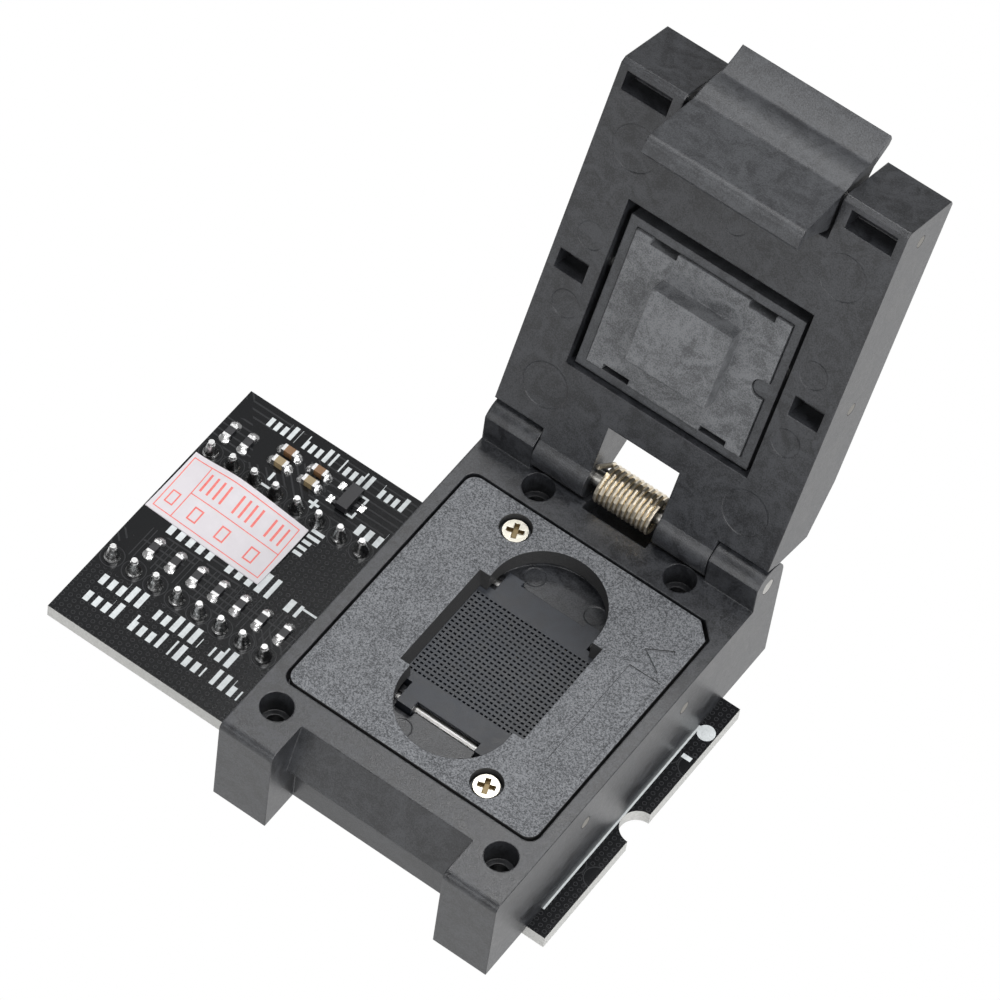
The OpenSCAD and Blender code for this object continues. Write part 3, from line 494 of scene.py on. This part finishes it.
RESISTOR = chip_finish("resistor", CHIP_DARK, CHIP_LIGHT, ("y", 0.0, -4.5, 10.6))
TRANSISTOR = chip_finish("transistor", CHIP_DARK, CHIP_LIGHT)
CAPACITOR_ENDS = ("x", -1.1, -2.89, 0.66)
TAN = chip_finish("capacitor_tan", (0.22, 0.16, 0.08, 1), (0.4, 0.31, 0.18, 1), CAPACITOR_ENDS)
BROWN = chip_finish("capacitor_brown", (0.16, 0.08, 0.035, 1), (0.27, 0.15, 0.07, 1), CAPACITOR_ENDS)
PAPER = label_finish()

FINISH_OF = {
    "board": BOARD, "strip": STRIP, "pin": GOLD, "solder": JOINT, "resistor": RESISTOR,
    "capacitor": TAN, "capacitor_brown": BROWN, "transistor": TRANSISTOR, "paper": PAPER,
    "housing": HOUSING, "carrier": STRIP, "block": BLOCK, "spring": STEEL, "rod": ROD,
    "guide": GUIDE, "screw": SCREW, "pin_steel": PIN_STEEL, "coil": COIL,
    "latch_plastic": LATCH, "pad": PAD,
}
for part in frame["record"]["subparts"]:
    mesh = nodes[part["node"]].data
    mesh.materials.clear()
    mesh.materials.append(FINISH_OF[part["material_slot"]])
chip_solder = nodes["chip_solder_fillets"].data
chip_solder.materials.clear()
chip_solder.materials.append(CHIP_SOLDER)


# Contact block with its whole field of slots

SLOT_PITCH = 0.5
SLOT_COLUMNS = 26
SLOT_ROWS = 22
SLOT_SIZE = (0.3, 0.19)
BLOCK_TOP = 13.7
BLOCK_UNDERSIDE = 10.9
BLOCK_HALF = (6.9, 6.45)
ARM_X = 5.2
ARM_Y = 8.9
NOTCH_X = 3.55
FRONT_NOTCH = 7.86
BACK_NOTCH = 8.33


def block_end(side, notch):
    """Half an outline: one end of the block, from its corner round the arms and notch."""
    wide, deep = BLOCK_HALF
    right = [(wide, deep), (ARM_X, deep), (ARM_X, ARM_Y), (NOTCH_X, ARM_Y), (NOTCH_X, notch)]
    points = right + [(-x, y) for x, y in right[::-1]]
    return [(side * x, side * y) for x, y in points]


BLOCK_OUTLINE = block_end(1, BACK_NOTCH) + block_end(-1, FRONT_NOTCH)
ROD_PLACE = (7.86, 12.18)
ROD_CHANNEL = 0.65
ROD_CHANNEL_END = 7.5
BLOCK_TRAVEL = 0.5


def slot_lines(count, size):
    """Where the edges of a row of slots lie, with a plain margin at both ends."""
    middles = [(i - (count - 1) / 2) * SLOT_PITCH for i in range(count)]
    edges = [middle + side * size / 2 for middle in middles for side in (-1, 1)]
    return [middles[0] - SLOT_PITCH / 2] + edges + [middles[-1] + SLOT_PITCH / 2]


def slotted_block_mesh():
    """The block as one closed shell, its slots cut right through."""
    across = slot_lines(SLOT_COLUMNS, SLOT_SIZE[0])
    along = slot_lines(SLOT_ROWS, SLOT_SIZE[1])
    bm = bmesh.new()
    sheets = {}
    for z in (BLOCK_UNDERSIDE, BLOCK_TOP):
        grid = [[bm.verts.new((x, y, z)) for x in across] for y in along]
        rim = [bm.verts.new((x, y, z)) for x, y in BLOCK_OUTLINE]
        sheets[z] = (grid, rim)
        for j in range(len(along) - 1):
            for i in range(len(across) - 1):
                if i % 2 and j % 2:
                    continue
                corners = [grid[j][i], grid[j][i + 1], grid[j + 1][i + 1], grid[j + 1][i]]
                bm.faces.new(corners)
        field = grid[0] + [row[-1] for row in grid[1:]]
        field += grid[-1][-2::-1] + [row[0] for row in grid[-2:0:-1]]
        ring = []
        for loop in (field, rim):
            for first, second in zip(loop, loop[1:] + loop[:1]):
                ring.append(bm.edges.get((first, second)) or bm.edges.new((first, second)))
        bmesh.ops.triangle_fill(bm, use_beauty=True, use_dissolve=False, edges=ring)
    low_grid, low_rim = sheets[BLOCK_UNDERSIDE]
    top_grid, top_rim = sheets[BLOCK_TOP]
    loops = [(low_rim, top_rim)]
    for j in range(1, len(along) - 1, 2):
        for i in range(1, len(across) - 1, 2):
            around = [(j, i), (j, i + 1), (j + 1, i + 1), (j + 1, i)]
            loops.append([[grid[b][a] for b, a in around] for grid in (low_grid, top_grid)])
    for low, top in loops:
        for k in range(len(low)):
            n = (k + 1) % len(low)
            bm.faces.new([low[k], low[n], top[n], top[k]])
    bmesh.ops.recalc_face_normals(bm, faces=bm.faces)
    return bm


def rod_channel(side):
    """A slot-shaped bar along X that clears a rod over the block's whole travel."""
    y, z = ROD_PLACE
    bm = bmesh.new()
    steps = 12
    section = []
    for lift, start in ((0.0, math.pi), (BLOCK_TRAVEL, 0.0)):
        for k in range(steps + 1):
            a = start + math.pi * k / steps
            across = side * y + ROD_CHANNEL * math.cos(a)
            section.append((across, z + lift + ROD_CHANNEL * math.sin(a)))
    sides = (-ROD_CHANNEL_END, ROD_CHANNEL_END)
    ends = [[bm.verts.new((x, *point)) for point in section] for x in sides]
    for k in range(len(section)):
        n = (k + 1) % len(section)
        bm.faces.new([ends[0][k], ends[0][n], ends[1][n], ends[1][k]])
    bm.faces.new(ends[0][::-1])
    bm.faces.new(ends[1])
    bmesh.ops.recalc_face_normals(bm, faces=bm.faces)
    return bm


def into_object(bm, name):
    """A mesh drawn in millimetres about the socket's middle, as an object in metres."""
    bmesh.ops.translate(bm, verts=bm.verts, vec=(SOCKET_X, 0, 0))
    bmesh.ops.scale(bm, verts=bm.verts, vec=(MM, MM, MM))
    mesh = bpy.data.meshes.new(name)
    bm.to_mesh(mesh)
    bm.free()
    made = bpy.data.objects.new(name, mesh)
    bpy.context.scene.collection.objects.link(made)
    return made


def cut(solid, tool):
    """Takes one solid out of another and removes the tool."""
    modifier = solid.modifiers.new("cut", "BOOLEAN")
    modifier.operation = "DIFFERENCE"
    modifier.solver = "EXACT"
    modifier.object = tool
    bpy.context.view_layer.update()
    made = bpy.data.meshes.new_from_object(
        solid.evaluated_get(bpy.context.evaluated_depsgraph_get())
    )
    solid.modifiers.clear()
    solid.data = made
    bpy.data.objects.remove(tool)


def add_slotted_block():
    block = into_object(slotted_block_mesh(), "slotted_contact_block")
    for side in (-1, 1):
        cut(block, into_object(rod_channel(side), "rod_channel"))
    block.data.materials.clear()
    block.data.materials.append(BLOCK)
    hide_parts("contact_block")
    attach(block, "contact_block")


add_slotted_block()


# Stage


def add_floor():
    low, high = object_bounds()
    mesh = bpy.data.meshes.new("floor")
    half = FLOOR_SIZE / 2
    z = low[2] - FLOOR_GAP
    corners = [(-half, -half, z), (half, -half, z), (half, half, z), (-half, half, z)]
    mesh.from_pydata(corners, [], [(0, 1, 2, 3)])
    mesh.materials.append(floor_finish())
    floor = bpy.data.objects.new("floor", mesh)
    bpy.context.scene.collection.objects.link(floor)


def add_light(name, at, size, power, aim=(0.03, 0.0, 0.02)):
    """A soft rectangular lamp that faces a point on the object."""
    data = bpy.data.lights.new(name, "AREA")
    data.shape = "RECTANGLE"
    data.size, data.size_y = size
    data.energy = power
    lamp = bpy.data.objects.new(name, data)
    lamp.location = at
    way = Vector(aim) - Vector(at)
    lamp.rotation_euler = way.to_track_quat("-Z", "Y").to_euler()
    bpy.context.scene.collection.objects.link(lamp)


def add_world():
    world = bpy.data.worlds.new("studio")
    world.use_nodes = True
    background = world.node_tree.nodes["Background"]
    background.inputs["Color"].default_value = grey(1.0)
    background.inputs["Strength"].default_value = 0.27
    bpy.context.scene.world = world


def add_camera():
    data = bpy.data.cameras.new("photo_camera")
    data.lens = CAMERA_LENS
    data.sensor_width = SENSOR
    data.clip_start = 0.05
    data.clip_end = 20.0
    camera = bpy.data.objects.new("photo_camera", data)
    look = (CAMERA_AIM - CAMERA_AT).normalized()
    level = look.to_track_quat("-Z", "Y").to_matrix()
    turn = Matrix.Rotation(CAMERA_ROLL, 3, "Z")
    camera.matrix_world = Matrix.Translation(CAMERA_AT) @ (level @ turn).to_4x4()
    bpy.context.scene.collection.objects.link(camera)
    bpy.context.scene.camera = camera


add_camera()
add_floor()
add_world()
add_light("top", (0.12, 0.0, 0.9), (0.4, 0.4), 3.4)
add_light("side", (0.75, -0.15, 0.45), (0.5, 0.5), 4.9)
add_light("front", (0.1, -0.75, 0.5), (0.5, 0.5), 3.2)
add_light("strip", (-0.06, 0.34, 0.75), (0.24, 0.15), 1.4)
bpy.context.scene.view_settings.view_transform = "Standard"
